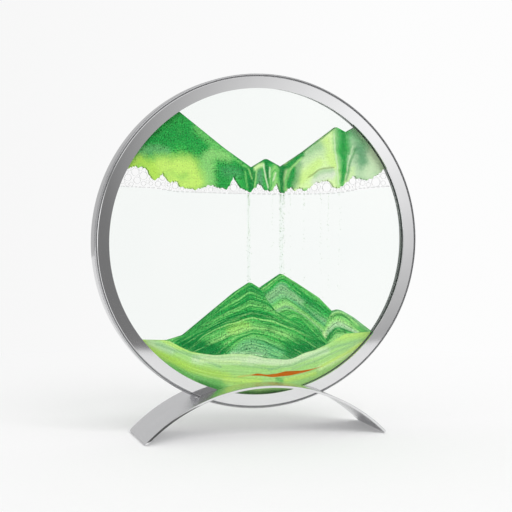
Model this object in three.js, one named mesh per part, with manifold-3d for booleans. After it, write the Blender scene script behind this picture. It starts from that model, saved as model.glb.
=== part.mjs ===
// Moving sand picture. A round aluminium hoop with two flat bezels, the rear one narrower, clamps a thin
// water cell between two glass panes. Coloured sand trickles through a raft of air bubbles and heaps up.
// The frame stands in the slot of an arched strip stand and lifts out of it to be turned over.
// Millimetres, +Z up, front of the picture towards -Y, origin on the table under the middle.
import * as THREE from "three";
import { mergeVertices } from "three/addons/utils/BufferGeometryUtils.js";
import Module from "manifold-3d";

const wasm = await Module();
wasm.setup();

// Hoop and bezels
const HOOP_DIAMETER = 185;
const HOOP_WALL = 0.8;
const FRONT_FACE_WIDTH = 6.4;
const REAR_FACE_WIDTH = 3.8;
const BEZEL_THICKNESS = 1.2;
const GROOVE_WIDTH = 0.7;
const GROOVE_DEPTH = 0.6;
const EDGE_BREAK = 0.15;
const PRESS_CLEARANCE = 0.05;

// Water cell
const GLASS_THICKNESS = 3;
const GLASS_EDGE_CLEARANCE = 0.8;
const GASKET_THICKNESS = 0.4;
const GASKET_SETBACK = 1;
const SEAL_THICKNESS = 0.3;
const SEAL_SETBACK = 1.2;
const SPACER_THICKNESS = 2.8;
const SPACER_SETBACK = 0.6;
const STACK_GAP = 0.05;

// Filler port at the top of the hoop
const CAP_DIAMETER = 8;
const CAP_THICKNESS = 1.1;
const CAP_RECESS = 0.15;
const CAP_CLEARANCE = 0.3;
const STOPPER_DIAMETER = 1.8;
const STOPPER_CLEARANCE = 0.1;
const STOPPER_TIP_SETBACK = 0.4;

// Stand, a strip bent to an arc
const STAND_SPAN = 137.6;
const STAND_CROWN_HEIGHT = 29.7;
const STAND_WIDTH = 43.8;
const STAND_THICKNESS = 1.3;
const TOE_HEIGHT = 1;
const TOE_CORNER_RADIUS = 3;
const SLOT_LENGTH = 74;
const SLOT_SIDE_CLEARANCE = 0.4;
const SEAT_GAP = 0.1;

// Contents of the cell
const RIM_CLEARANCE = 0.3;
const PANE_CLEARANCE = 0.15;
const LAYER_GAP = 0.3;
const STREAM_TOP_DIAMETER = 0.7;
const STREAM_FOOT_DIAMETER = 1.3;
const LEFT_STREAM_X = -5.2;
const RIGHT_STREAM_X = 13.8;

// How finely round shapes are divided
const RING_SEGMENTS = 96;
const ARCH_SEGMENTS = 40;
const PORT_SEGMENTS = 24;
const STREAM_SEGMENTS = 8;
const CORNER_SEGMENTS = 6;
const CURVE_STEPS = 4;
const WELD_DISTANCE = 1e-4;

// Far beyond any cell, where an outline that the rim cuts off is closed
const BEYOND = 400;

// The outlines below are drawn in a cell of this radius, and spread with the cell of another frame
const OUTLINE_RADIUS = 84.9;

// Lower sand: tops of the heaps as [x, height above the lowest point of the cell], left to right
const BED_TOP = [
  [-66, 32.3],
  [-52, 31.6],
  [-40, 26.4],
  [-22, 22.3],
  [2, 20.6],
  [16, 19],
  [30, 22.2],
  [42, 27.3],
  [50, 31.2],
  [66, 32.6],
];
const LEFT_HILL_TOP = [
  [-54, 31],
  [-43, 33.9],
  [-34, 40.7],
  [-13.7, 56.6],
  [-4.5, 62.3],
  [0.8, 58.9],
  [4.2, 53.4],
  [10, 45.7],
  [22, 39.5],
  [30.5, 33.7],
  [46, 22],
];
const RIGHT_HILL_TOP = [
  [0.8, 58.9],
  [13.5, 67.1],
  [23.8, 60.6],
  [35.4, 52.9],
  [43.4, 44.9],
  [46.5, 37.9],
  [54, 24],
];
const SMALL_HILL_TOP = [
  [43.4, 44.9],
  [48.2, 45.9],
  [56, 41.3],
  [68, 32.5],
  [80, 24],
];
const VEIN_TOP = [
  [-5, 10.6],
  [10, 11],
  [24, 12.5],
  [39, 14.1],
];
const VEIN_BOTTOM = [
  [-5, 10.4],
  [10, 9.1],
  [24, 10.3],
  [39, 13.9],
];

// Upper sand and bubble raft as [x, height above the middle of the cell], left to right
const LEFT_BANK_TOP = [
  [-BEYOND, 336],
  [-44.3, 71.2],
  [-20, 52.1],
  [-4.1, 41.2],
];
const MIDDLE_BANK_TOP = [
  [-4.1, 41.2],
  [4.3, 45.8],
  [13.1, 41.3],
];
const RIGHT_BANK_TOP = [
  [13.1, 41.3],
  [25.5, 49.3],
  [45.5, 63.8],
  [51.3, 61],
];
const FAR_BANK_TOP = [
  [51.3, 61],
  [56, 63.4],
  [BEYOND, 240],
];
const RAFT_TOP = [
  [-80, 41],
  [-68, 39.5],
  [-56, 34.5],
  [-42, 30.3],
  [-19, 28.8],
  [4, 28.2],
  [29, 28.4],
  [46, 30],
  [58, 34.5],
  [70, 37.5],
  [80, 38.5],
];
const RAFT_BOTTOM = [
  [-78, 31.2],
  [-42, 28.2],
  [-20, 27],
  [4, 26.6],
  [29, 26.7],
  [49, 27.7],
  [78, 30.4],
];

// Radii of the frame, from the hoop inwards
const hoopRadius = HOOP_DIAMETER / 2;
const hoopBore = hoopRadius - HOOP_WALL;
const faceOuter = hoopBore - GROOVE_WIDTH;
const sightRadius = faceOuter - FRONT_FACE_WIDTH;
const rearOpening = faceOuter - REAR_FACE_WIDTH;
const paneRadius = hoopBore - GLASS_EDGE_CLEARANCE;
const cellRadius = sightRadius + SPACER_SETBACK;
const contentRadius = cellRadius - RIM_CLEARANCE;
const spread = contentRadius / OUTLINE_RADIUS;

// Depths from the middle of the cell to the front, the same to the back
const spacerFace = SPACER_THICKNESS / 2;
const sealBack = spacerFace + STACK_GAP;
const sealFace = sealBack + SEAL_THICKNESS;
const glassBack = sealFace + STACK_GAP;
const glassFace = glassBack + GLASS_THICKNESS;
const gasketBack = glassFace + STACK_GAP;
const gasketFace = gasketBack + GASKET_THICKNESS;
const bezelBack = gasketFace + STACK_GAP;
const frontFace = bezelBack + BEZEL_THICKNESS;
const hoopDepth = 2 * frontFace;
const contentDepth = 2 * (glassBack - PANE_CLEARANCE);

// Arc of the stand through its toes and its crown, and the height at which the hoop then sits
const toeX = STAND_SPAN / 2;
const archRise = STAND_CROWN_HEIGHT - TOE_HEIGHT;
const archRadius = (toeX ** 2 + archRise ** 2) / (2 * archRise);
const archCentreZ = STAND_CROWN_HEIGHT - archRadius;
const slotHalf = SLOT_LENGTH / 2;
const seatZ = archCentreZ + Math.sqrt(archRadius ** 2 - slotHalf ** 2);
const frameCentreZ = seatZ + Math.sqrt(hoopRadius ** 2 - slotHalf ** 2) + SEAT_GAP;

const finishes = {
  satinAluminium: { color: 0xc4c4c6, roughness: 0.32, metalness: 0.9 },
  clearGlass: { color: 0xf4faf8, roughness: 0.04, metalness: 0, transparent: true, opacity: 0.25 },
  blackRubber: { color: 0x1d1f1e, roughness: 0.85, metalness: 0 },
  greySilicone: { color: 0x686e6b, roughness: 0.5, metalness: 0 },
  greyAcrylic: { color: 0x6f7b72, roughness: 0.3, metalness: 0 },
  water: { color: 0xf7fbfa, roughness: 0.02, metalness: 0, transparent: true, opacity: 0.12 },
  airBubbles: { color: 0xffffff, roughness: 0.05, metalness: 0, transparent: true, opacity: 0.5 },
  greenSand: { color: 0x2f8f3a, roughness: 0.9, metalness: 0 },
  limeSand: { color: 0xa9d765, roughness: 0.9, metalness: 0 },
  orangeSand: { color: 0xc8691a, roughness: 0.9, metalness: 0 },
};

function solidOf(geometry) {
  const bare = geometry.clone();
  bare.deleteAttribute("normal");
  bare.deleteAttribute("uv");
  const merged = mergeVertices(bare, WELD_DISTANCE);
  const vertProperties = new Float32Array(merged.attributes.position.array);
  const triVerts = new Uint32Array(merged.index.array);
  return new wasm.Manifold(new wasm.Mesh({ numProp: 3, vertProperties, triVerts }));
}

function geometryOf(solid) {
  const mesh = solid.getMesh();
  const geometry = new THREE.BufferGeometry();
  geometry.setAttribute("position", new THREE.BufferAttribute(new Float32Array(mesh.vertProperties), 3));
  geometry.setIndex(new THREE.BufferAttribute(new Uint32Array(mesh.triVerts), 1));
  geometry.computeVertexNormals();
  return geometry;
}

function addPiece(parent, name, geometry, finish) {
  const mesh = new THREE.Mesh(geometry, new THREE.MeshStandardMaterial(finishes[finish]));
  mesh.name = name;
  parent.add(mesh);
}

// A ring about the picture's axis from its closed [radius, depth] profile; front side is -1, back is 1.
function turnedRing(profile, side) {
  const points = profile.map(([radius, depth]) => new THREE.Vector2(radius, side * depth));
  if (side < 0) points.reverse();
  points.push(points[0].clone());
  return new THREE.LatheGeometry(points, RING_SEGMENTS);
}

function flatRing(inner, outer, back, face, side) {
  const profile = [
    [inner, back],
    [outer, back],
    [outer, face],
    [inner, face],
  ];
  return turnedRing(profile, side);
}

// An outline in the plane of the picture, right through the depth of the frame.
function slab(outline) {
  const shape = new THREE.Shape(outline.map(([x, z]) => new THREE.Vector2(x, z)));
  const geometry = new THREE.ExtrudeGeometry(shape, { depth: hoopDepth, bevelEnabled: false });
  geometry.translate(0, 0, -hoopDepth / 2);
  geometry.rotateX(Math.PI / 2);
  return solidOf(geometry);
}

function upright(topRadius, footRadius, bottomZ, topZ, segments, x = 0) {
  const geometry = new THREE.CylinderGeometry(topRadius, footRadius, topZ - bottomZ, segments);
  geometry.rotateX(Math.PI / 2);
  geometry.translate(x, 0, (bottomZ + topZ) / 2);
  return geometry;
}

// Bent strip with blunt flat toes, rounded corners and the slot that the hoop drops into.
function standStrip() {
  const innerRadius = archRadius - STAND_THICKNESS;
  const innerFootX = Math.sqrt(innerRadius ** 2 - archCentreZ ** 2);
  const outerEnd = Math.atan2(TOE_HEIGHT - archCentreZ, toeX);
  const innerEnd = Math.atan2(-archCentreZ, innerFootX);
  const section = new THREE.Shape();
  section.moveTo(innerFootX, 0);
  section.lineTo(toeX, 0);
  section.absarc(0, archCentreZ, archRadius, outerEnd, Math.PI - outerEnd, false);
  section.lineTo(-toeX, 0);
  section.lineTo(-innerFootX, 0);
  section.absarc(0, archCentreZ, innerRadius, Math.PI - innerEnd, innerEnd, true);
  const options = { depth: STAND_WIDTH, bevelEnabled: false, curveSegments: ARCH_SEGMENTS };
  const bent = new THREE.ExtrudeGeometry(section, options);
  bent.translate(0, 0, -STAND_WIDTH / 2);
  bent.rotateX(Math.PI / 2);

  const plan = new THREE.Shape();
  const cornerX = toeX - TOE_CORNER_RADIUS;
  const cornerY = STAND_WIDTH / 2 - TOE_CORNER_RADIUS;
  const quarter = Math.PI / 2;
  plan.absarc(cornerX, cornerY, TOE_CORNER_RADIUS, 0, quarter, false);
  plan.absarc(-cornerX, cornerY, TOE_CORNER_RADIUS, quarter, 2 * quarter, false);
  plan.absarc(-cornerX, -cornerY, TOE_CORNER_RADIUS, 2 * quarter, 3 * quarter, false);
  plan.absarc(cornerX, -cornerY, TOE_CORNER_RADIUS, 3 * quarter, 4 * quarter, false);
  const height = 2 * STAND_CROWN_HEIGHT;
  const cutting = { depth: height, bevelEnabled: false, curveSegments: CORNER_SEGMENTS };
  const blank = new THREE.ExtrudeGeometry(plan, cutting);
  blank.translate(0, 0, -height / 4);

  const slot = new THREE.BoxGeometry(SLOT_LENGTH, hoopDepth + 2 * SLOT_SIDE_CLEARANCE, height);
  slot.translate(0, 0, height / 2);
  return geometryOf(solidOf(bent).intersect(solidOf(blank)).subtract(solidOf(slot)));
}

// Rolled band, pierced at the top for the filler port.
function outerHoop() {
  const profile = [
    [hoopBore, -frontFace],
    [hoopRadius - EDGE_BREAK, -frontFace],
    [hoopRadius, EDGE_BREAK - frontFace],
    [hoopRadius, frontFace - EDGE_BREAK],
    [hoopRadius - EDGE_BREAK, frontFace],
    [hoopBore, frontFace],
  ];
  const holeRadius = CAP_DIAMETER / 2 + CAP_CLEARANCE;
  const hole = upright(holeRadius, holeRadius, hoopRadius / 2, 2 * hoopRadius, PORT_SEGMENTS);
  return geometryOf(solidOf(turnedRing(profile, 1)).subtract(solidOf(hole)));
}

// Flat face ring whose stepped rim leaves a shadow groove inside the hoop.
function bezel(side, opening) {
  const rim = hoopBore - PRESS_CLEARANCE;
  const profile = [
    [opening, bezelBack],
    [rim, bezelBack],
    [rim, frontFace - GROOVE_DEPTH],
    [faceOuter, frontFace - GROOVE_DEPTH],
    [faceOuter, frontFace - EDGE_BREAK],
    [faceOuter - EDGE_BREAK, frontFace],
    [opening + EDGE_BREAK, frontFace],
    [opening, frontFace - EDGE_BREAK],
  ];
  return turnedRing(profile, side);
}

function pane(side) {
  const profile = [
    [0, glassBack],
    [paneRadius - EDGE_BREAK, glassBack],
    [paneRadius, glassBack + EDGE_BREAK],
    [paneRadius, glassFace - EDGE_BREAK],
    [paneRadius - EDGE_BREAK, glassFace],
    [0, glassFace],
  ];
  const points = profile.map(([radius, depth]) => new THREE.Vector2(radius, side * depth));
  if (side < 0) points.reverse();
  return new THREE.LatheGeometry(points, RING_SEGMENTS);
}

// Ring that sets the gap between the panes, drilled through for the stopper.
function spacerRing() {
  const ring = flatRing(cellRadius, paneRadius, -spacerFace, spacerFace, 1);
  const boreRadius = STOPPER_DIAMETER / 2 + STOPPER_CLEARANCE;
  const bore = upright(boreRadius, boreRadius, hoopRadius / 2, 2 * hoopRadius, PORT_SEGMENTS);
  return geometryOf(solidOf(ring).subtract(solidOf(bore)));
}

function smooth(line) {
  const curve = new THREE.SplineCurve(line.map(([x, z]) => new THREE.Vector2(x, z)));
  return curve.getPoints(CURVE_STEPS * (line.length - 1)).map((point) => [point.x, point.y]);
}

const across = (line) => [[-BEYOND, line[0][1]], ...smooth(line), [BEYOND, line[line.length - 1][1]]];
const spreadOut = (line) => line.map(([x, z]) => [x * spread, z * spread]);
const raised = (line, by) => line.map(([x, z]) => [x, z + by]);

function heightAt(line, x) {
  const next = line.findIndex((point) => point[0] > x);
  const [x0, z0] = line[next - 1];
  const [x1, z1] = line[next];
  return z0 + ((z1 - z0) * (x - x0)) / (x1 - x0);
}

// Everything below a line, down past the rim of any cell.
function under(line) {
  const first = line[0][0];
  const last = line[line.length - 1][0];
  return slab([[first, -BEYOND], ...line, [last, -BEYOND]]);
}

const cell = solidOf(new THREE.CylinderGeometry(contentRadius, contentRadius, contentDepth, RING_SEGMENTS));

function fill(solid, cuts) {
  const kept = cuts.reduce((left, cut) => left.subtract(cut), solid.intersect(cell));
  return geometryOf(kept);
}

const frame = new THREE.Group();
frame.name = "sand_picture";

const stand = new THREE.Group();
addPiece(stand, "stand_strip", standStrip(), "satinAluminium");
frame.add(stand);

const roundel = new THREE.Group();
roundel.position.z = frameCentreZ;
addPiece(roundel, "outer_hoop", outerHoop(), "satinAluminium");
addPiece(roundel, "spacer_ring", spacerRing(), "greyAcrylic");
for (const [end, side, opening] of [["front", -1, sightRadius], ["rear", 1, rearOpening]]) {
  const gasket = flatRing(opening + GASKET_SETBACK, paneRadius, gasketBack, gasketFace, side);
  const seal = flatRing(sightRadius + SEAL_SETBACK, paneRadius, sealBack, sealFace, side);
  addPiece(roundel, end + "_bezel", bezel(side, opening), "satinAluminium");
  addPiece(roundel, end + "_gasket", gasket, "blackRubber");
  addPiece(roundel, end + "_glass", pane(side), "clearGlass");
  addPiece(roundel, end + "_seal", seal, "greySilicone");
}
frame.add(roundel);

// Filler plug: a cap flush in the hoop and the stopper below it in the spacer's bore
const plug = new THREE.Group();
plug.position.z = frameCentreZ;
const capTop = hoopRadius - CAP_RECESS;
const capBottom = capTop - CAP_THICKNESS;
const capRadius = CAP_DIAMETER / 2;
const stopperRadius = STOPPER_DIAMETER / 2;
const stopperTip = cellRadius + STOPPER_TIP_SETBACK;
const cap = upright(capRadius, capRadius, capBottom, capTop, PORT_SEGMENTS);
const stopper = upright(stopperRadius, stopperRadius, stopperTip, capBottom - STACK_GAP, PORT_SEGMENTS);
addPiece(plug, "filler_cap", cap, "satinAluminium");
addPiece(plug, "filler_stopper", stopper, "blackRubber");
frame.add(plug);

// Lower heaps, each lying on the ones before it
const contents = new THREE.Group();
contents.position.z = frameCentreZ;
const onFloor = (line) => raised(spreadOut(line), -contentRadius);
const bedTop = onFloor(across(BED_TOP));
const leftHillTop = onFloor(LEFT_HILL_TOP);
const rightHillTop = onFloor(RIGHT_HILL_TOP);
const smallHillTop = onFloor(SMALL_HILL_TOP);
const bedCover = under(raised(bedTop, LAYER_GAP));
const leftCover = under(raised(leftHillTop, LAYER_GAP));
const rightCover = under(raised(rightHillTop, LAYER_GAP));
const smallCover = under(raised(smallHillTop, LAYER_GAP));
const veinTop = onFloor(smooth(VEIN_TOP));
const veinBottom = onFloor(smooth(VEIN_BOTTOM));
const veinHole = slab([...raised(veinTop, LAYER_GAP), ...raised(veinBottom, -LAYER_GAP).reverse()]);
const vein = slab([...veinTop, ...veinBottom.reverse()]);
addPiece(contents, "sand_bed", fill(under(bedTop), [veinHole]), "limeSand");
addPiece(contents, "sand_vein", fill(vein, []), "orangeSand");
addPiece(contents, "sand_hill_left", fill(under(leftHillTop), [bedCover]), "greenSand");
addPiece(contents, "sand_hill_right", fill(under(rightHillTop), [bedCover, leftCover]), "greenSand");
addPiece(contents, "sand_hill_small", fill(under(smallHillTop), [bedCover, rightCover]), "greenSand");

// Raft of bubbles and the banks of sand that it holds up
const raftTop = spreadOut(across(RAFT_TOP));
const raftBottom = spreadOut(across(RAFT_BOTTOM));
const raftCover = under(raised(raftTop, LAYER_GAP));
const bankTops = [LEFT_BANK_TOP, MIDDLE_BANK_TOP, RIGHT_BANK_TOP, FAR_BANK_TOP].map(spreadOut);
const bankNames = ["left", "middle", "right", "far"];
const bankFinishes = ["greenSand", "limeSand", "limeSand", "limeSand"];
addPiece(contents, "bubble_raft", fill(under(raftTop), [under(raftBottom)]), "airBubbles");
bankTops.forEach((top, i) => {
  const seamX = top[0][0] + LAYER_GAP;
  const inset = [[seamX, heightAt(top, seamX)], ...top.slice(1)];
  addPiece(contents, "sand_bank_" + bankNames[i], fill(under(inset), [raftCover]), bankFinishes[i]);
});

// Threads of sand that fall from the raft onto the two tall hills
const streamHoles = [];
const streams = [["left", LEFT_STREAM_X, leftHillTop], ["right", RIGHT_STREAM_X, rightHillTop]];
for (const [name, drawnX, hillTop] of streams) {
  const x = drawnX * spread;
  const footZ = heightAt(hillTop, x) + STREAM_FOOT_DIAMETER;
  const topZ = heightAt(raftBottom, x) - LAYER_GAP;
  const topRadius = STREAM_TOP_DIAMETER / 2;
  const footRadius = STREAM_FOOT_DIAMETER / 2;
  const thread = upright(topRadius, footRadius, footZ, topZ, STREAM_SEGMENTS, x);
  const holeRadius = footRadius + LAYER_GAP;
  const hole = upright(holeRadius, holeRadius, footZ - BEYOND / 2, topZ + BEYOND / 2, STREAM_SEGMENTS, x);
  addPiece(contents, "falling_sand_" + name, thread, "greenSand");
  streamHoles.push(solidOf(hole));
}

// Clear liquid above the banks, and between the raft and the heaps
const covers = [bedCover, leftCover, rightCover, smallCover];
const bankCover = under(raised(bankTops.flatMap((top, i) => (i ? top.slice(1) : top)), LAYER_GAP));
const belowRaft = under(raised(raftBottom, -LAYER_GAP));
addPiece(contents, "liquid_lower", fill(belowRaft, [...covers, ...streamHoles]), "water");
addPiece(contents, "liquid_upper", fill(cell, [bankCover]), "water");
frame.add(contents);

export default frame;
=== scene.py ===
import math
import random

import bmesh
import bpy
import numpy as np
from mathutils import Matrix, Vector


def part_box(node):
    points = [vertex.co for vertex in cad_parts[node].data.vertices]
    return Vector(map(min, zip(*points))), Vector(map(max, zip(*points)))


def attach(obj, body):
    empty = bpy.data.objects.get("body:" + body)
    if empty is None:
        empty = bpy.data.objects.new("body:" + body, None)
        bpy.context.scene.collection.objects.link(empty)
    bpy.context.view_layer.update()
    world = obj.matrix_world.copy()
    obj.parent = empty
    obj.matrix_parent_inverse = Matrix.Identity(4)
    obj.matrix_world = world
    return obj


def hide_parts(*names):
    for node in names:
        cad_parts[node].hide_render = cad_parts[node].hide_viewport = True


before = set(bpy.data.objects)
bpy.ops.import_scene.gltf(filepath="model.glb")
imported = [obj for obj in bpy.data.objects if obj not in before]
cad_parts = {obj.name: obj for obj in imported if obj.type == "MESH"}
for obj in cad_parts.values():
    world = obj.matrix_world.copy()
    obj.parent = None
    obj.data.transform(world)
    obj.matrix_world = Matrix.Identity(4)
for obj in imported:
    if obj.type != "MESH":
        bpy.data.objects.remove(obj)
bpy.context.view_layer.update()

bl_info = {
    "name": "Moving Sand Picture",
    "version": (1, 0, 0),
    "blender": (4, 5, 0),
    "location": "3D View > Sidebar > Sand Picture",
    "description": "Dresses a round liquid sand picture that stands in an arched strip",
    "category": "Object",
}

MM = 0.001
HOOP_LOW, HOOP_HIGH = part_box("outer_hoop")
AXIS_Z = (HOOP_LOW.z + HOOP_HIGH.z) / 2
CAP_LOW, CAP_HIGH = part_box("filler_cap")
STOPPER_LOW, STOPPER_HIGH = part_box("filler_stopper")
SPACER_LOW, SPACER_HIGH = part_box("spacer_ring")
STAND_LOW, STAND_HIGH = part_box("stand_strip")
BED_LOW, BED_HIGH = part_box("sand_bed")

# Brightness of the card and the backdrop from the left of the stage to its right.
BACKDROP = {"From Min": -0.2, "From Max": 0.1, "To Min": 0.93, "To Max": 0.98}
STAGE_RIGHT = (0.96, -0.28, 0.0)
# Distance in metres from the stand at which the card changes half as much as the backdrop.
STAGE_DEPTH = 0.755

# Headings of the bright window, the panel at the left and the wall behind, which metal mirrors.
WINDOW_HEADING = (0.36, -0.932, 0.04)
PANEL_HEADING = (-0.95, -0.28, -0.1)
REAR_HEADING = (0.0, 1.0, -0.5)
# Heading of the lamp's light, down from the front.
LAMP_HEADING = (-0.2, 0.75, -0.63)

CAMERA_PLACE = (-0.21202, -0.72457, AXIS_Z + 0.03337)
CAMERA_HEADING = (0.279146, 0.958654, -0.05476)
LENS_MM = 95.53
SENSOR_MM = 36

# Edges that turn by more than this many degrees stay sharp.
SHARP_ANGLE = 40

HOOP_MATERIAL = "polished anodised aluminium"
RUBBER_MATERIAL = "black EPDM rubber"
SAND_MATERIAL = " dyed silica sand"

# Everything inside the cell is laid out in millimetres across and above the middle of the cell.
CELL_RADIUS = (AXIS_Z - BED_LOW.z) / MM
SAND_FRONT = BED_LOW.y / MM
SAND_BACK = BED_HIGH.y / MM
# Least height of a sheet of sand where it runs out.
FEATHER = 0.05
# Spacing of a hill's layers below its last line, and the distance over which its lines are rounded.
CORE_SPACING = 4
LINE_ROUNDING = 1.2
# Half length of the raft, tries at sowing its bubbles, and half thickness of the film under them.
RAFT_HALF = 80
BUBBLE_TRIES = 9000
FILM_HALF_HEIGHT = 0.3

# Lines of the heaps, the vein and the banks: across, height.
BED_TOP = [
    (-70, -52.5), (-51, -53.5), (-45, -57), (-39, -60), (-31.5, -61.5), (-25, -62.5), (-14, -62),
    (-4, -63), (3, -65), (16, -66.5), (20, -66), (27, -63), (33.5, -61.5), (40.5, -58.5), (47.5, -55),
    (51, -53), (70, -52),
]
LEFT_HILL_TOP = [
    (-54, -54), (-43, -51), (-34, -44), (-13.5, -28), (-4.5, -22.5), (1, -26), (4, -31), (10, -39),
    (22, -45.5), (30.5, -51), (46, -63),
]
RIGHT_HILL_TOP = [(1, -26), (13.5, -18), (24, -24.5), (35.5, -32), (43.5, -40), (46.5, -47), (54, -61)]
SMALL_HILL_TOP = [(43.5, -40), (48, -39), (56, -43.5), (68, -52.5), (80, -61)]
VEIN_TOP = [
    (-5, -74.5), (-1, -73.5), (5, -74.5), (11, -74), (15.5, -73), (24.5, -73), (30, -72.5), (38, -71),
]
VEIN_BOTTOM = [(-5, -74.5), (2.5, -75), (8, -76), (18, -75.5), (27, -74), (38, -71)]
LEFT_BANK_TOP = [(-84, 100.5), (-44.5, 71), (-20, 52), (-4, 41)]
MIDDLE_BANK_TOP = [(-4, 41), (4.5, 46), (13, 41.5)]
RIGHT_BANK_TOP = [(13, 41.5), (25.5, 49.5), (45.5, 64), (51.5, 61)]
FAR_BANK_TOP = [(51.5, 61), (56, 63.5), (84, 78)]

# Torn lower edge of the banks, where they lie on the bubbles and drain between them.
BANK_BASE = [
    (-78, 38), (-70, 41), (-63, 40), (-60, 34), (-57, 34), (-54, 37.5), (-51, 32.5), (-46, 33),
    (-44, 29.5), (-35, 28.5), (-27, 31), (-19, 28.5), (-17, 29.5), (-14, 36), (-11, 30), (-5, 27),
    (-2, 29), (0.5, 32.5), (3.5, 28.5), (8, 27.5), (10.5, 32), (13, 27), (14.5, 26), (19, 30),
    (21, 27.5), (24, 29.5), (28, 27.5), (33, 32), (41, 33.5), (44, 30), (47, 29), (52, 32), (56, 36),
    (59, 34.5), (65, 33.5), (71, 37), (78, 42),
]
RAFT_BOTTOM = [
    (-80, 31), (-67, 30.5), (-57.5, 30), (-46.5, 28), (-31.5, 27.5), (-17.5, 27), (4, 26.5), (34, 26.5),
    (47, 27), (55.5, 28.5), (60, 29.5), (66.5, 30), (80, 31),
]

# Larger bubbles: across, height, radius.
LARGE_BUBBLES = [
    (-69, 38.5, 2.2), (-64.5, 36.5, 2.2), (-73, 35.5, 1.9), (-68, 34, 1.9), (-54, 35.5, 1.6),
    (-56.5, 32, 1.6), (-47, 31, 1.7), (-14, 33.5, 1), (-14, 30, 2), (-27, 29, 1.2), (0.5, 30.5, 1.2),
    (10.5, 30, 1.2), (33, 30, 1.9), (37, 28.5, 1.3), (40.5, 30, 2.6), (52.5, 30, 1.6), (56, 33.5, 2),
    (59, 31.5, 1.4), (70, 33, 2.6), (74.5, 36.5, 1.7), (74.5, 32.5, 1.4), (65.5, 31.5, 1.4),
    (62, 32.5, 1.5),
]


def linear(hex_colour):
    """Linear red, green and blue of an sRGB hex colour."""
    channels = [int(hex_colour[i:i + 2], 16) / 255 for i in (0, 2, 4)]
    return tuple(c / 12.92 if c <= 0.04045 else ((c + 0.055) / 1.055) ** 2.4 for c in channels)


def opaque(hex_colour):
    """Linear colour with full alpha, for a node's colour socket."""
    return (*linear(hex_colour), 1.0)


def length(name, description, millimetres):
    """Length that a user may change."""
    return bpy.props.FloatProperty(
        name=name, description=description, default=millimetres * MM, precision=5, unit="LENGTH"
    )


def dye(name, description, hex_colour):
    """Colour that a user may change."""
    return bpy.props.FloatVectorProperty(
        name=name, description=description, default=linear(hex_colour), size=3, min=0, max=1,
        subtype="COLOR",
    )


class SandPictureSizes(bpy.types.PropertyGroup):
    """Sizes of the frame and its stand"""

    hoop_wall: length("Hoop wall", "Thickness of the rolled outer band", 0.8)
    groove_width: length("Groove width", "Gap between the band and the face ring", 0.4)
    groove_depth: length("Groove depth", "How far the groove goes in behind the face", 0.6)
    face_width: length("Face width", "Width of the flat ring in front of the picture", 6.7)
    rear_width: length("Rear width", "Width of the flat ring behind the picture", 4.1)
    face_thickness: length("Face thickness", "Thickness of the flat ring", 1.2)
    press_gap: length("Press gap", "Gap between the face ring's rim and the band", 0.05)
    edge_round: length("Edge round", "Rounding of the ring's turned edges", 0.15)
    face_chamfer: length("Face chamfer", "Bevel turned along the face ring's outer edge", 0.55)
    hoop_setback: length("Hoop setback", "How far the band's edges stand behind the face rings", 0.2)
    hoop_chamfer: length("Hoop chamfer", "Bevel turned along the band's outer edges", 0.7)
    hoop_taper: length("Hoop taper", "How far that bevel runs along the band in front", 1.3)
    hoop_rear_taper: length("Hoop rear taper", "How far that bevel runs along the band behind", 0.4)
    hoop_round: length("Hoop round", "Rounding of the band's edges", 0.08)
    spacer_setback: length("Spacer setback", "How far the spacer sits behind the sight edge", 0.6)
    port_gap: length("Port gap", "Gap round the filler cap", 0.3)
    bore_gap: length("Bore gap", "Gap round the stopper in the spacer", 0.1)
    cap_round: length("Cap round", "Rounding of the filler cap's edges", 0.2)
    cap_slot_width: length("Cap slot width", "Width of the slot across the filler cap", 1.1)
    cap_slot_depth: length("Cap slot depth", "Depth of the slot across the filler cap", 0.45)
    strip_thickness: length("Strip thickness", "Thickness of the bent stand", 1.3)
    strip_edge: length("Strip edge round", "Rounding along the stand's edges", 0.15)
    toe_height: length("Toe height", "Height of the blunt end of the stand", 1.0)
    toe_corner: length("Toe corner radius", "Corner radius at the stand's feet", 1.6)
    slot_length: length("Slot length", "Length of the slot that the frame drops into", 74.0)
    slot_gap: length("Slot gap", "Gap on each side of the frame in the slot", 0.4)
    ring_steps: bpy.props.IntProperty(
        name="Ring steps", description="Segments round each turned ring", default=240, min=48, max=720
    )


class SandPictureDyes(bpy.types.PropertyGroup):
    """Colours of the sand"""

    pine: dye("Pine", "Darkest green", "0f7c37")
    fern: dye("Fern", "Dark green", "1f9240")
    leaf: dye("Leaf", "Middle green", "33a94a")
    grass: dye("Grass", "Light green", "6cc164")
    apple: dye("Apple", "Pale bright green", "98d57d")
    jade: dye("Jade", "Cool middle green", "60b877")
    teal: dye("Teal", "Dark blue green", "589a6c")
    sage: dye("Sage", "Grey green", "86bb86")
    mist: dye("Mist", "Pale grey green", "b6d6ac")
    mint: dye("Mint", "Very pale green", "cfe8bd")
    lime: dye("Lime", "Yellow green", "c0e66e")
    citron: dye("Citron", "Strong yellow green", "b2dd58")
    straw: dye("Straw", "Pale yellow green", "d2efa8")
    pearl: dye("Pearl", "Nearly white grains", "d2dfcd")
    meadow: dye("Meadow", "Ground of the bed", "a9dc84")
    olive: dye("Olive", "Thin dark seams", "6f8440")
    amber: dye("Amber", "Yellow orange", "d8a845")
    rust: dye("Rust", "Orange of the thin vein", "c4660f")


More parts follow.
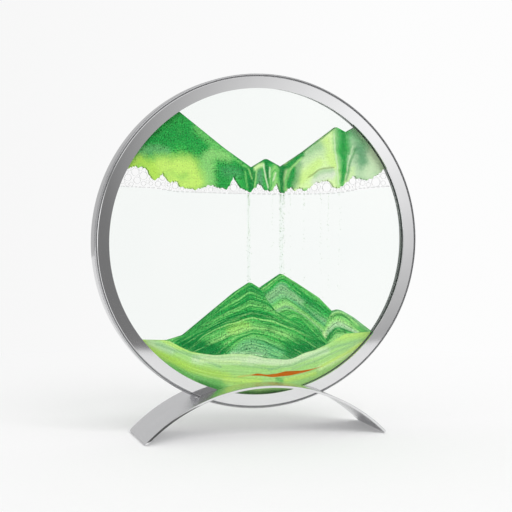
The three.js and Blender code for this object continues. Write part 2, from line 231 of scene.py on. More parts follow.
# Patches of sand as dye, half width, strength and the path of its middle. Most are dyed sand; two, marked
# where they stand, are painted light and painted shade.
BANK_PATCHES = [
    ("fern", 10, 0.8, [(-62, 55), (-42, 60), (-33, 54)]),
    ("grass", 5, 0.8, [(-34, 62), (-19, 50)]),
    ("sage", 4, 0.4, [(-67, 50), (-52, 50)]),
    ("apple", 6, 0.7, [(-29, 45), (-28, 31)]),
    ("lime", 8, 1, [(-56, 41), (-39, 42), (-36, 34)]),
    ("lime", 5, 1, [(-50, 34), (-36, 31)]),
    ("citron", 5, 0.9, [(-73, 41), (-66, 45), (-60, 41), (-58, 35)]),
    ("apple", 4, 0.7, [(-26, 49), (-18, 46)]),
    ("fern", 5, 0.75, [(-20, 41), (-11, 41)]),
    ("fern", 5, 0.75, [(-21, 35), (-19, 30)]),
    ("teal", 4, 0.4, [(-19, 39), (-12, 38)]),
    ("grass", 1.2, 0.8, [(-20, 50), (-6, 41)]),
    ("pine", 3, 0.6, [(-9, 40), (-7, 32)]),
    ("pine", 1.8, 1, [(-4, 40), (-5, 29)]),
    ("grass", 0.7, 0.9, [(-8, 39), (-6.5, 30)]),
    ("apple", 0.6, 0.8, [(-5.5, 40), (-4, 35)]),
    ("pine", 0.6, 0.8, [(-6.5, 40), (-5.5, 30)]),
    ("straw", 2.2, 0.9, [(-1, 41), (2, 42.5)]),
    ("teal", 3, 0.9, [(1, 38), (0, 30)]),
    ("apple", 0.7, 0.9, [(-1, 39), (-2, 34), (-2.5, 29)]),
    ("pine", 0.6, 0.8, [(-2, 39), (-3.5, 29)]),
    ("pine", 1.6, 1, [(5, 45), (5.5, 34)]),
    ("fern", 1.6, 0.9, [(5.5, 34), (6.5, 28)]),
    ("mint", 0.6, 0.9, [(3, 43), (4, 36.5), (5.5, 30)]),
    ("apple", 3.2, 0.9, [(9.5, 39.5), (9, 29)]),
    ("pine", 1.4, 0.8, [(4, 46), (12, 41.5)]),
    ("leaf", 0.5, 0.8, [(7.5, 31), (8, 38), (9.5, 40), (11, 38), (11.5, 32)]),
    ("leaf", 0.5, 0.6, [(8.5, 32), (9, 36), (10.5, 38)]),
    ("mint", 0.6, 0.8, [(6.5, 41), (6.5, 36)]),
    ("mint", 0.6, 0.9, [(8.5, 34), (10, 38)]),
    ("straw", 1.2, 0.7, [(11.5, 32), (13, 28)]),
    ("lime", 4, 0.5, [(24, 34), (35, 43)]),
    ("lime", 4, 0.5, [(39, 56), (43, 44)]),
    ("mist", 6, 0.7, [(26, 46), (36, 51)]),
    ("sage", 4.5, 0.7, [(29, 51), (35, 54)]),
    ("teal", 4, 0.7, [(23, 43), (20, 31)]),
    ("fern", 3.5, 1, [(19, 41), (18, 30)]),
    ("fern", 2.6, 1, [(14.5, 41.5), (20, 45), (25, 48.5)]),
    ("pine", 2.4, 1, [(13.5, 41.5), (14, 27)]),
    ("apple", 0.8, 0.9, [(17, 39.5), (21.5, 43.5), (25, 46.5)]),
    ("grass", 0.7, 0.9, [(10.5, 41), (11.5, 34), (12.5, 28)]),
    ("grass", 0.8, 0.9, [(17, 40), (16, 35), (15.5, 28)]),
    ("pearl", 4, 0.8, [(33, 34), (43, 38)]),
    ("sage", 1.8, 0.5, [(33, 37), (43, 40)]),
    ("olive", 0.6, 0.6, [(29, 36), (36, 40), (44, 41.5)]),
    ("grass", 1.6, 0.8, [(27, 28), (29, 28)]),
    ("mint", 5, 0.7, [(68, 48), (66, 38)]),
    # This pale band that hugs the ring's inner edge is painted light, lifting the shade that the ring casts
    # on the far bank.
    ("mint", 4, 0.8, [(60, 59), (66, 53), (71, 45), (74, 39)]),
    ("jade", 5, 0.7, [(56, 60), (62, 54)]),
    ("teal", 5, 0.9, [(58.5, 51), (62, 44)]),
    ("straw", 2.4, 0.7, [(55, 41), (52, 33)]),
    ("sage", 1.2, 0.5, [(58, 36), (64, 34)]),
    ("apple", 2.2, 0.6, [(44, 61), (46, 48), (47.5, 31)]),
    ("jade", 6.5, 0.9, [(49.5, 63), (49.5, 56)]),
    ("jade", 4.5, 0.9, [(49.5, 56), (49.5, 44)]),
    ("sage", 2.5, 0.2, [(45.5, 62), (46.5, 44)]),
    ("leaf", 5.5, 0.85, [(50, 63), (50, 52)]),
    ("leaf", 3.6, 0.9, [(50, 52), (49.5, 40)]),
    ("leaf", 2.2, 0.9, [(49.5, 40), (49.5, 31)]),
    ("fern", 2, 0.9, [(50.5, 62), (50, 48)]),
    ("fern", 1.4, 0.8, [(50, 48), (49.5, 34)]),
    ("mint", 0.6, 0.7, [(44, 60), (45.5, 46), (47, 32)]),
    ("mint", 0.6, 0.6, [(55, 53), (52.5, 44), (51, 34)]),
    ("pine", 0.8, 0.7, [(57, 52), (54, 45), (51.5, 34)]),
    ("pine", 0.6, 0.7, [(-44.5, 71), (-20, 52), (-4, 41), (4.5, 46), (13, 41), (25.5, 49.5), (45.5, 64)]),
]
BED_PATCHES = [
    ("grass", 6, 0.6, [(-55, -62), (-43, -72), (-25, -79)]),
    ("leaf", 4, 0.4, [(-50, -67), (-37, -75), (-20, -80)]),
    ("citron", 3.4, 0.8, [(-65, -54), (-55, -61), (-39, -69), (-18, -75)]),
    ("mist", 3, 0.7, [(-62, -54), (-50, -59)]),
    ("lime", 1.2, 0.7, [(-55, -53), (-47, -57), (-34, -61)]),
    ("mint", 3.6, 0.8, [(-36, -64), (0, -66)]),
    ("sage", 1.2, 0.6, [(-58, -55), (-48, -59), (-36, -63), (-22, -69)]),
    ("sage", 0.9, 0.5, [(-24, -66), (-10, -68.5), (8, -71.5)]),
    ("straw", 1.4, 0.7, [(-33, -65), (-11, -67)]),
    ("lime", 3.4, 0.8, [(-18, -76), (0, -78)]),
    ("mint", 3, 0.9, [(-5, -66), (15, -68), (40, -62)]),
    ("sage", 1.2, 0.6, [(6, -71.5), (20, -69.5), (33, -64.5), (46, -60), (61, -57)]),
    ("sage", 0.9, 0.5, [(20, -71.5), (33, -68), (46, -63), (58, -59)]),
    ("straw", 2.4, 0.8, [(36, -72), (50, -66), (61, -59)]),
    ("lime", 1.2, 0.8, [(37, -71), (50, -65), (61, -59)]),
    ("lime", 3, 0.6, [(46, -55), (64, -53)]),
    ("leaf", 1.8, 0.7, [(11, -77), (14, -78)]),
    ("lime", 1.8, 0.8, [(16, -78), (33, -75)]),
    ("amber", 0.6, 0.5, [(-12, -75), (-3, -74)]),
    # This darkest patch along the foot of the bed is painted shade, where the stand's crown and the ring's
    # lower edge shade the sand.
    ("pine", 2.4, 0.6, [(-34, -77.5), (-20, -82.5), (0, -85), (14, -84)]),
]
LEFT_HILL_PATCHES = [
    ("fern", 6, 0.8, [(-42, -51), (-24, -38)]),
    ("fern", 6, 0.9, [(-44, -55), (-22, -60)]),
    ("pine", 5, 0.9, [(-42, -56), (-22, -61)]),
    ("lime", 4, 0.4, [(-15, -48), (-8, -46)]),
    ("sage", 5, 0.6, [(-10, -61), (-2, -59), (4, -63)]),
    ("mist", 1.6, 0.6, [(-16, -62), (2, -63.5)]),
    ("fern", 7, 0.9, [(18, -59), (38, -57)]),
    ("pine", 5, 0.9, [(18, -64), (40, -58)]),
    ("fern", 3, 0.8, [(-2, -25), (5, -30), (14, -42)]),
]
RIGHT_HILL_PATCHES = [
    ("fern", 3, 0.8, [(1, -28), (5, -29)]),
    ("sage", 4, 0.5, [(6, -31), (12, -28), (18, -31)]),
    ("leaf", 4, 0.85, [(20, -26), (33, -34), (43, -43)]),
    ("fern", 2.2, 0.8, [(22, -28), (42, -42)]),
    ("leaf", 2.6, 0.8, [(27, -36), (42, -45)]),
    ("fern", 3, 0.8, [(34, -51), (40, -55)]),
]
SMALL_HILL_PATCHES = [
    ("straw", 2.4, 0.8, [(37, -52), (40, -54)]),
    ("fern", 2.2, 0.9, [(39, -56.5), (46, -50.5), (51, -51.5)]),
    ("pine", 1, 0.7, [(39, -56.5), (46, -50.5), (51, -51.5)]),
    ("leaf", 1.8, 0.7, [(59, -49), (65, -53)]),
]

# Lines that the layers of each hill follow, from its slope down to its core.
LEFT_HILL_LINES = [
    [(-54, -54), (-43, -51), (-34, -44), (-14, -28.5), (-4.5, -22.5), (4, -25.5), (16, -33), (30, -46)],
    [(-43, -52), (-22, -36), (-15, -31), (-4.5, -25), (4, -29.5)],
    [(-43, -53), (-27, -41.5), (-15, -35), (-5, -29), (4, -32), (20, -45)],
    [(-45, -53.5), (-34, -49), (-19, -42), (-5, -38), (6, -39.5), (13, -44.5), (24, -48)],
    [(-35, -54.5), (-30, -50.5), (-18, -45.5), (-3, -42), (9, -45), (21, -49), (35, -57.5)],
    [(-23, -55.5), (-12, -51.5), (-3, -49.5), (7, -51), (16, -54.5), (28, -61.5)],
    [(-15, -57.5), (-9, -53), (-4, -52), (4, -53.5), (16, -59), (22, -62.5)],
]
RIGHT_HILL_LINES = [
    RIGHT_HILL_TOP[:-1],
    [(3.5, -27.5), (8.5, -23), (12.5, -20), (15.5, -20.5), (26.5, -27.5), (38, -35.5), (46, -43)],
    [(3, -30), (7, -27.5), (12, -23), (15.5, -23.5), (24.5, -30.5), (38, -39.5), (46, -45)],
    [(3.5, -32), (9, -30), (13, -26), (17, -28), (26.5, -35.5), (37.5, -43.5)],
    [(7, -35.5), (12, -32.5), (15.5, -31), (24.5, -37.5), (36.5, -46.5)],
    [(10, -39), (15.5, -36.5), (19.5, -37.5), (30, -44), (36.5, -50)],
    [(14, -42.5), (20.5, -40), (24.5, -41.5), (34, -50.5), (37.5, -54.5)],
]
SMALL_HILL_LINES = [
    SMALL_HILL_TOP[:-1],
    [(40, -44), (45.5, -41), (50, -41), (54.5, -44.5), (63.5, -52.5)],
    [(38.5, -51.5), (42, -46), (46.5, -44), (50.5, -45.5), (60.5, -52.5)],
    [(38.5, -57), (41, -55.5), (44, -52), (46.5, -50), (53, -52)],
]

# Colours of the layers by their place among those lines.
LEFT_HILL_LAYERS = [
    (0, "leaf"), (0.25, "grass"), (0.6, "fern"), (1, "leaf"), (1.3, "fern"), (1.6, "grass"), (2, "leaf"),
    (2.3, "fern"), (2.6, "grass"), (2.9, "leaf"), (3.1, "fern"), (3.6, "pine"), (3.9, "leaf"), (4, "apple"),
    (4.15, "leaf"), (4.5, "grass"), (4.8, "apple"), (5, "leaf"), (5.3, "grass"), (5.6, "leaf"), (6, "grass"),
    (7, "jade"), (8, "jade"), (9.5, "sage"),
]
RIGHT_HILL_LAYERS = [
    (0, "leaf"), (0.3, "apple"), (0.6, "leaf"), (1, "grass"), (1.4, "leaf"), (1.8, "leaf"), (2.1, "jade"),
    (2.5, "sage"), (3.2, "sage"), (3.8, "jade"), (4.2, "grass"), (4.7, "apple"), (5, "sage"),
    (5.4, "grass"), (5.8, "leaf"), (6.2, "grass"), (6.8, "leaf"), (8, "fern"),
]
SMALL_HILL_LAYERS = [
    (0, "grass"), (0.4, "sage"), (1, "apple"), (1.5, "grass"), (2, "apple"), (2.5, "mist"), (3, "leaf"),
    (3.4, "apple"), (5, "apple"),
]

LEFT_HILL = (LEFT_HILL_LINES, LEFT_HILL_LAYERS, LEFT_HILL_PATCHES)
RIGHT_HILL = (RIGHT_HILL_LINES, RIGHT_HILL_LAYERS, RIGHT_HILL_PATCHES)
SMALL_HILL = (SMALL_HILL_LINES, SMALL_HILL_LAYERS, SMALL_HILL_PATCHES)

# Left edge of the small hill where it lies over the foot of the right one, from its toe up to the notch.
SMALL_HILL_EDGE = [(40, -56.5), (37.5, -52.5), (38.5, -49), (41, -44), (43.5, -40)]


def on(points, rounding=0.0):
    """Height along a line that runs on straight past its ends, with its corners rounded over a distance."""
    across, height = (np.array(values, float) for values in zip(*points))
    first = (height[1] - height[0]) / (across[1] - across[0])
    last = (height[-1] - height[-2]) / (across[-1] - across[-2])

    def line(x):
        past_ends = first * np.minimum(x - across[0], 0) + last * np.maximum(x - across[-1], 0)
        return np.interp(x, across, height) + past_ends

    offsets = np.linspace(-rounding, rounding, 9) if rounding else [0.0]
    return lambda x: np.mean([line(x + offset) for offset in offsets], axis=0)


def rim(x):
    """Height of the cell's wall above its middle."""
    return np.sqrt(np.maximum(CELL_RADIUS ** 2 - np.square(x), 0))


def eased(share):
    """Smooth step from 0 to 1."""
    held = np.clip(share, 0, 1)
    return held * held * (3 - 2 * held)


def distance_to(path, x, z):
    """Distance of points from a path, in millimetres."""
    nearest = np.full(np.shape(x), np.inf)
    for (ax, az), (bx, bz) in zip(path, path[1:]):
        ux, uz = bx - ax, bz - az
        along = np.clip(((x - ax) * ux + (z - az) * uz) / (ux * ux + uz * uz), 0, 1)
        nearest = np.minimum(nearest, np.hypot(x - ax - along * ux, z - az - along * uz))
    return nearest


def wander(a, b, size):
    """Slow drift that keeps the edge of a patch of sand from being plain."""
    return np.sin(a / size + 1.7 * np.sin(b / size)) + 0.6 * np.sin(2.3 * b / size + 1.1 * a / size + 2)


def dye_of(dyes, name):
    """Linear colour of a dye."""
    return np.array(getattr(dyes, name))


def strata_of(x, z, lines):
    """Place of each point among the lines of a hill: 0 on the first, 1 on the second and so on."""
    wavy = z + 0.16 * wander(x, z, 2.6)
    heights = [on(line, LINE_ROUNDING)(x) for line in lines]
    place = np.maximum(heights[-1] - wavy, 0) / CORE_SPACING
    for upper, lower in zip(heights, heights[1:]):
        place = place + np.clip((upper - wavy) / np.maximum(upper - lower, 0.3), 0, 1)
    return place


def depth_of(place, lines):
    """Depth of each place among the lines of a hill, in millimetres under its crest."""
    crest = max(lines[0], key=lambda point: point[1])[0]
    heights = np.array([float(on(line, LINE_ROUNDING)(crest)) for line in lines])
    last = len(lines) - 1
    jitter = np.random.default_rng(4).normal(0, 0.1, len(place))
    depth = np.interp(place, range(last + 1), heights[0] - heights)
    return depth + CORE_SPACING * np.maximum(place - last, 0) + jitter


def layered(depth, layers, dyes):
    """Colour of each point from a list of places and dyes."""
    places = [place for place, _ in layers]
    colours = np.array([dye_of(dyes, name) for _, name in layers])
    return np.stack([np.interp(depth, places, colours[:, i]) for i in range(3)], axis=1)


def patched(tint, x, z, patches, dyes, loose, stray=1.0):
    """Colour with soft patches of other dyes laid over it, a few of which are painted light or shade, their
    edges scattered by a distance.
    """
    chance = np.random.default_rng(3)
    drift_x = stray * (0.5 * wander(x, z, 5.3) + 0.25 * wander(x, z, 1.9)) + chance.normal(0, loose, len(x))
    drift_z = stray * (0.5 * wander(z, x, 4.7) + 0.25 * wander(z, x, 1.7)) + chance.normal(0, loose, len(x))
    for name, half_width, strength, path in patches:
        held = min(1.0, half_width / 2)
        gap = distance_to(path, x + held * drift_x, z + held * drift_z)
        share = (strength * eased(1.15 - gap / half_width))[:, None]
        tint = tint * (1 - share) + dye_of(dyes, name) * share
    return tint


def add(tree, kind, links=None, **settings):
    """New shader node with its settings, each input set or linked to a socket or a node's first output."""
    node = tree.nodes.new("ShaderNode" + kind)
    for key, value in settings.items():
        setattr(node, key, value)
    for key, value in (links or {}).items():
        if isinstance(value, bpy.types.Node):
            value = next(socket for socket in value.outputs if socket.enabled)
        if isinstance(value, bpy.types.NodeSocket):
            tree.links.new(value, node.inputs[key])
        else:
            node.inputs[key].default_value = value
    return node


def pattern(millimetres):
    """Scale of a pattern whose features have this size."""
    return 1 / (millimetres * MM)


def new_material(name):
    """Empty node material, its tree and its Object coordinates."""
    material = bpy.data.materials.get(name) or bpy.data.materials.new(name)
    material.use_nodes = True
    tree = material.node_tree
    tree.nodes.clear()
    return material, tree, add(tree, "TexCoord").outputs["Object"]


def anodised_aluminium(name, colour, smoothest, roughest):
    """Rolled aluminium, polished or left matt and clear anodised: a cool grey mirror with a faint waver."""
    material, tree, place = new_material(name)
    shaded = tuple(0.94 * c for c in linear(colour)) + (1.0,)
    haze = add(tree, "TexNoise", {"Vector": place, "Scale": pattern(14), "Detail": 3})
    grit = add(tree, "TexNoise", {"Vector": place, "Scale": pattern(0.5), "Detail": 2})
    tone = add(tree, "Mix", {"Factor": haze, "A": opaque(colour), "B": shaded}, data_type="RGBA")
    rough = add(tree, "MapRange", {"Value": grit, "To Min": smoothest, "To Max": roughest})
    waver = add(tree, "Bump", {"Height": haze, "Strength": 0.15, "Distance": 0.02 * MM})
    surface = add(tree, "BsdfPrincipled", {
        "Base Color": tone, "Roughness": rough, "Normal": waver, "Metallic": 1.0,
    })
    add(tree, "OutputMaterial", {"Surface": surface})
    return material


def float_glass():
    """Low-iron float glass, polished flat: clear, with a faint mirror on its face."""
    material, tree, place = new_material("low-iron float glass")
    smear = add(tree, "TexNoise", {"Vector": place, "Scale": pattern(30), "Detail": 2})
    rough = add(tree, "MapRange", {"Value": smear, "To Max": 0.03})
    clear = add(tree, "BsdfTransparent", {"Color": opaque("ffffff")})
    shine = add(tree, "BsdfGlossy", {"Color": opaque("ffffff"), "Roughness": rough})
    edge = add(tree, "LayerWeight", {"Blend": 0.03}).outputs["Facing"]
    surface = add(tree, "MixShader", {"Fac": edge, 1: clear, 2: shine})
    add(tree, "OutputMaterial", {"Surface": surface})
    return material


def still_water():
    """Purified water behind glass: clear, with the faintest cool cast and hardly any mirror of its own."""
    material, tree, place = new_material("purified water")
    cloud = add(tree, "TexNoise", {"Vector": place, "Scale": pattern(40), "Detail": 1})
    cast = add(tree, "Mix", {
        "Factor": cloud, "A": opaque("fefffe"), "B": opaque("fcfefd"),
    }, data_type="RGBA")
    clear = add(tree, "BsdfTransparent", {"Color": cast})
    add(tree, "OutputMaterial", {"Surface": clear})
    return material


def bubble_wall(name, clear_to, grey_from):
    """Air in water: clear in the middle, with a thin grey rim where light turns away."""
    material, tree, place = new_material(name)
    film = add(tree, "TexNoise", {"Vector": place, "Scale": pattern(2), "Detail": 1})
    grey = add(tree, "Mix", {
        "Factor": film, "A": opaque("59625d"), "B": opaque("949f99"),
    }, data_type="RGBA")
    turn = add(tree, "LayerWeight", {"Blend": 0.5}).outputs["Facing"]
    edge = add(tree, "MapRange", {
        "Value": turn, "From Min": clear_to, "From Max": grey_from, "To Max": 0.9,
    }, interpolation_type="SMOOTHSTEP")
    clear = add(tree, "BsdfTransparent", {"Color": opaque("ffffff")})
    wall = add(tree, "BsdfPrincipled", {"Base Color": grey, "Roughness": 0.15})
    surface = add(tree, "MixShader", {"Fac": edge, 1: clear, 2: wall})
    add(tree, "OutputMaterial", {"Surface": surface})
    return material


def mottled(name, colour, fleck, grain_mm, smoothest, roughest, bump_mm):
    """Moulded rubber, cast plastic or pressed felt: one body colour, slightly mottled, with a fine skin."""
    material, tree, place = new_material(name)
    skin = add(tree, "TexNoise", {"Vector": place, "Scale": pattern(grain_mm), "Detail": 3})
    tone = add(tree, "Mix", {"Factor": skin, "A": opaque(colour), "B": opaque(fleck)}, data_type="RGBA")
    rough = add(tree, "MapRange", {"Value": skin, "To Min": smoothest, "To Max": roughest})
    relief = add(tree, "Bump", {"Height": skin, "Strength": 0.4, "Distance": bump_mm * MM})
    surface = add(tree, "BsdfPrincipled", {"Base Color": tone, "Roughness": rough, "Normal": relief})
    add(tree, "OutputMaterial", {"Surface": surface})
    return material


def dyed_sand(family, pale, dark, speck, speck_share, contrast):
    """Dyed silica sand, sieved fine: matt grains of slightly different dye, settled in thin streaks.

    Grains are about 0.2 mm; they are drawn four to five times as coarse so that they show at all.
    """
    material, tree, place = new_material(family + SAND_MATERIAL)
    tint = add(tree, "Attribute", attribute_name="tint")
    shown = tint.outputs["Alpha"]
    layer = add(tree, "Attribute", attribute_name="layer").outputs["Vector"]
    streak = add(tree, "TexNoise", {"Vector": layer, "Scale": 1, "Detail": 3, "Roughness": 0.6})
    body = tint
    for start, end, most, colour in ((0.54, 0.62, 0.5, pale), (0.47, 0.39, 0.9, dark)):
        share = add(tree, "MapRange", {"Value": streak, "From Min": start, "From Max": end, "To Max": most})
        held = add(tree, "Math", {0: share, 1: shown}, operation="MULTIPLY")
        body = add(tree, "Mix", {"Factor": held, "A": body, "B": opaque(colour)}, data_type="RGBA")

    # Pale sand shows its single grains less than deep green sand.
    red = add(tree, "SeparateColor", {"Color": tint})
    dull = add(tree, "MapRange", {"Value": red, "From Min": 0.3, "From Max": 0.06, "To Min": 0.25})
    deep = add(tree, "Math", {0: dull, 1: shown}, operation="MAXIMUM")
    grain = add(tree, "TexNoise", {"Vector": place, "Scale": pattern(0.8), "Detail": 2, "Roughness": 0.7})
    swing = add(tree, "MapRange", {
        "Value": grain, "From Min": 0.3, "From Max": 0.7, "To Min": -contrast, "To Max": contrast,
    })
    bright = add(tree, "Math", {0: swing, 1: deep, 2: 1}, operation="MULTIPLY_ADD")
    mixed = add(tree, "HueSaturation", {"Color": body, "Value": bright})

    # A share of the cells, drawn by lot, holds one dark grain each.
    cells = add(tree, "TexVoronoi", {"Vector": place, "Scale": pattern(1)})
    lot = add(tree, "SeparateColor", {"Color": cells.outputs["Color"]})
    chosen = add(tree, "MapRange", {
        "Value": lot, "From Min": 1 - speck_share, "From Max": 1 - 0.7 * speck_share, "To Max": deep,
    })
    middle = add(tree, "MapRange", {"Value": cells.outputs["Distance"], "From Min": 0.48, "From Max": 0.2})
    dark_grain = add(tree, "Math", {0: chosen, 1: middle}, operation="MULTIPLY")
    flecked = add(tree, "Mix", {"Factor": dark_grain, "A": mixed, "B": opaque(speck)}, data_type="RGBA")
    rough = add(tree, "MapRange", {"Value": grain, "To Min": 0.7, "To Max": 0.98})
    relief = add(tree, "Bump", {"Height": grain, "Strength": 0.35, "Distance": 0.1 * MM})
    surface = add(tree, "BsdfPrincipled", {
        "Base Color": flecked, "Roughness": rough, "Normal": relief, "Specular IOR Level": 0.2,
    })
    add(tree, "OutputMaterial", {"Surface": surface})
    return material


def white_card():
    """Matt white card: it keeps the soft shadow by the stand and fades into the backdrop further off."""
    material, tree, place = new_material("matt white card")
    fibre = add(tree, "TexNoise", {"Vector": place, "Scale": pattern(3), "Detail": 2})
    white = add(tree, "Mix", {
        "Factor": fibre, "A": opaque("f8f8f8"), "B": opaque("fbfbfb"),
    }, data_type="RGBA")
    card = add(tree, "BsdfDiffuse", {"Color": white})
    spread = add(tree, "VectorMath", {0: place}, operation="LENGTH")
    far = add(tree, "Math", {0: spread, 1: STAGE_DEPTH}, operation="ADD")
    across = add(tree, "VectorMath", {0: place, 1: STAGE_RIGHT}, operation="DOT_PRODUCT")
    side = add(tree, "Math", {0: across, 1: far}, operation="DIVIDE")
    level = add(tree, "MapRange", {"Value": side, **BACKDROP})
    glow = add(tree, "Emission", {"Color": level})
    faded = add(tree, "MapRange", {"Value": spread, "From Min": 0.1, "From Max": 0.4, "To Min": 0.12})
    seen = add(tree, "LightPath").outputs["Is Camera Ray"]
    share = add(tree, "Math", {0: seen, 1: faded}, operation="MULTIPLY")
    surface = add(tree, "MixShader", {"Fac": share, 1: card, 2: glow})
    add(tree, "OutputMaterial", {"Surface": surface})
    return material


def soft_studio():
    """Even light from all round, the pale backdrop, and the room, panel and ceiling that metal mirrors."""
    world = bpy.data.worlds.new("soft studio")
    world.use_nodes = True
    tree = world.node_tree
    tree.nodes.clear()
    path = add(tree, "LightPath")
    heading = add(tree, "TexCoord").outputs["Generated"]
    aside = add(tree, "VectorMath", {0: heading, 1: WINDOW_HEADING}, operation="DISTANCE")
    window = add(tree, "MapRange", {"Value": aside, "From Max": 0.205, "To Min": 1.22, "To Max": 0.22})
    rearward = add(tree, "VectorMath", {0: heading, 1: REAR_HEADING}, operation="DOT_PRODUCT")
    behind = add(tree, "MapRange", {"Value": rearward, "From Min": -0.7, "From Max": 0})
    room = add(tree, "Mix", {"Factor": behind, "A": window, "B": 0.64})
    off_left = add(tree, "VectorMath", {0: heading, 1: PANEL_HEADING}, operation="DISTANCE")
    panel = add(tree, "MapRange", {
        "Value": off_left, "From Min": 0.3, "From Max": 0.7, "To Min": 1.3, "To Max": 0,
    })
    upward = add(tree, "SeparateXYZ", {"Vector": heading}).outputs["Z"]
    ceiling = add(tree, "MapRange", {"Value": upward, "From Min": 0.3, "From Max": 0.6, "To Max": 0.95})
    boxes = add(tree, "Math", {0: panel, 1: ceiling}, operation="MAXIMUM")
    mirrored = add(tree, "Math", {0: room, 1: boxes}, operation="MAXIMUM")
    ambient = add(tree, "Mix", {"Factor": path.outputs["Is Glossy Ray"], "A": 0.74, "B": mirrored})
    side = add(tree, "VectorMath", {0: heading, 1: STAGE_RIGHT}, operation="DOT_PRODUCT")
    backdrop = add(tree, "MapRange", {"Value": side, **BACKDROP})
    seen = add(tree, "Math", {
        0: path.outputs["Is Camera Ray"], 1: path.outputs["Is Transmission Ray"],
    }, operation="MAXIMUM")
    light = add(tree, "Mix", {"Factor": seen, "A": ambient, "B": backdrop})
    shade = add(tree, "Background", {"Color": light})
    add(tree, "OutputWorld", {"Surface": shade})
    return world


def object_from(name, bm, materials):
    """Object made from a bmesh, which is used up."""
    mesh = bpy.data.meshes.new(name)
    bm.to_mesh(mesh)
    bm.free()
    for material in materials:
        mesh.materials.append(material)
    made = bpy.data.objects.new(name, mesh)
    bpy.context.scene.collection.objects.link(made)
    return made


def finished(name, bm, materials, body, replaced=(), sharp=SHARP_ANGLE, flat=False):
    """Piece made from a bmesh, smooth but for its sharp edges, riding on a body."""
    for face in bm.faces:
        face.smooth = True
    piece = object_from(name, bm, materials)
    piece.data.set_sharp_from_angle(angle=math.radians(sharp))
    if flat:
        piece.modifiers.new("flat faces", "WEIGHTED_NORMAL").keep_sharp = True
    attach(piece, body)
    if replaced:
        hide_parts(*replaced)
    return piece


def dress_node(name, material):
    """Give a CAD node that stays in view its own material."""
    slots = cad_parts[name].data.materials
    slots.clear()
    slots.append(material)


def soften(bm, width, segments=2):
    """Round the sharp edges of a closed shape."""
    sharp = [edge for edge in bm.edges if edge.is_manifold and edge.calc_face_angle() > math.radians(30)]
    bmesh.ops.bevel(
        bm, geom=sharp, offset=width, affect="EDGES", segments=segments, profile=0.5, material=-1,
        clamp_overlap=True,
    )


def spun(profile, centre, axis, steps):
    """Closed ring or plug from its profile, a few points turned right round an axis."""
    bm = bmesh.new()
    verts = [bm.verts.new(point) for point in profile]
    edges = [bm.edges.new(pair) for pair in zip(verts, verts[1:] + verts[:1])]
    bmesh.ops.spin(
        bm, geom=verts + edges, cent=centre, axis=axis, angle=math.tau, steps=steps, use_merge=True
    )
    bmesh.ops.remove_doubles(bm, verts=bm.verts, dist=1e-7)
    bmesh.ops.recalc_face_normals(bm, faces=bm.faces)
    return bm


def turned_ring(profile, steps):
    """Ring about the picture's axis from [radius, depth] points in metres."""
    points = [(radius, depth, AXIS_Z) for radius, depth in profile]
    return spun(points, (0, 0, AXIS_Z), (0, 1, 0), steps)


def drilled(piece, cutter):
    """Take the shape of a bmesh away from a piece."""
    tool = object_from("cutter", cutter, [])
    cut = piece.modifiers.new("cut", "BOOLEAN")
    cut.operation, cut.solver, cut.object = "DIFFERENCE", "EXACT", tool
    piece.modifiers.move(len(piece.modifiers) - 1, 0)
    for other in piece.modifiers[1:]:
        other.show_viewport = False
    shape = piece.evaluated_get(bpy.context.evaluated_depsgraph_get())
    result = bpy.data.meshes.new_from_object(shape)
    piece.modifiers.remove(cut)
    for other in piece.modifiers:
        other.show_viewport = True
    piece.data = result
    mesh = tool.data
    bpy.data.objects.remove(tool)
    bpy.data.meshes.remove(mesh)
    result.set_sharp_from_angle(angle=math.radians(SHARP_ANGLE))


def post(radius, low, high, segments=48):
    """Upright round bar on the picture's centre line."""
    bm = bmesh.new()
    place = Matrix.Translation((0, 0, (low + high) / 2))
    bmesh.ops.create_cone(
        bm, cap_ends=True, segments=segments, radius1=radius, radius2=radius, depth=high - low, matrix=place
    )
    return bm


def sheet_of(half_length, half_width, centre=(0, 0, 0)):
    """Flat oblong of one face."""
    bm = bmesh.new()
    place = Matrix.Translation(centre) @ Matrix.Diagonal((half_length, half_width, 1, 1))
    bmesh.ops.create_grid(bm, x_segments=1, y_segments=1, size=1, matrix=place)
    return bm


def all_of(bm):
    """Every vertex, edge and face."""
    return bm.verts[:] + bm.edges[:] + bm.faces[:]


def slab_of_sand(name, node, family, left, right, floor, top, cell, proud=0.0):
    """Sheet of sand between two lines, as deep as the gap between the panes, in place of a CAD node."""
    columns = max(4, int((right - left) / cell))
    sample = np.linspace(left, right, 200)
    rows = max(4, int(np.max(top(sample) - floor(sample)) / cell))
    bm = bmesh.new()
    bmesh.ops.create_grid(bm, x_segments=columns, y_segments=rows, size=1)
    grid = np.array([vert.co for vert in bm.verts])
    x = left + (right - left) * (grid[:, 0] + 1) / 2
    low = floor(x)
    high = np.maximum(top(x), low + FEATHER)
    z = low + (high - low) * (grid[:, 1] + 1) / 2
    for vert, across, height in zip(bm.verts, x, z):
        vert.co = (across * MM, (SAND_FRONT - proud) * MM, AXIS_Z + height * MM)
    bulk = bmesh.ops.extrude_face_region(bm, geom=bm.faces[:])
    moved = [item for item in bulk["geom"] if isinstance(item, bmesh.types.BMVert)]
    bmesh.ops.translate(bm, verts=moved, vec=(0, (SAND_BACK - SAND_FRONT + 2 * proud) * MM, 0))
    bmesh.ops.recalc_face_normals(bm, faces=bm.faces)
    material = bpy.data.materials[family + SAND_MATERIAL]
    return finished(name, bm, [material], "contents", [node])


def places_of(piece):
    """Across, depth and height of a piece's vertices, in millimetres from the middle of the cell."""
    flat = np.empty(len(piece.data.vertices) * 3)
    piece.data.vertices.foreach_get("co", flat)
    x, y, z = flat.reshape(-1, 3).T / MM
    return x, y, z - AXIS_Z / MM


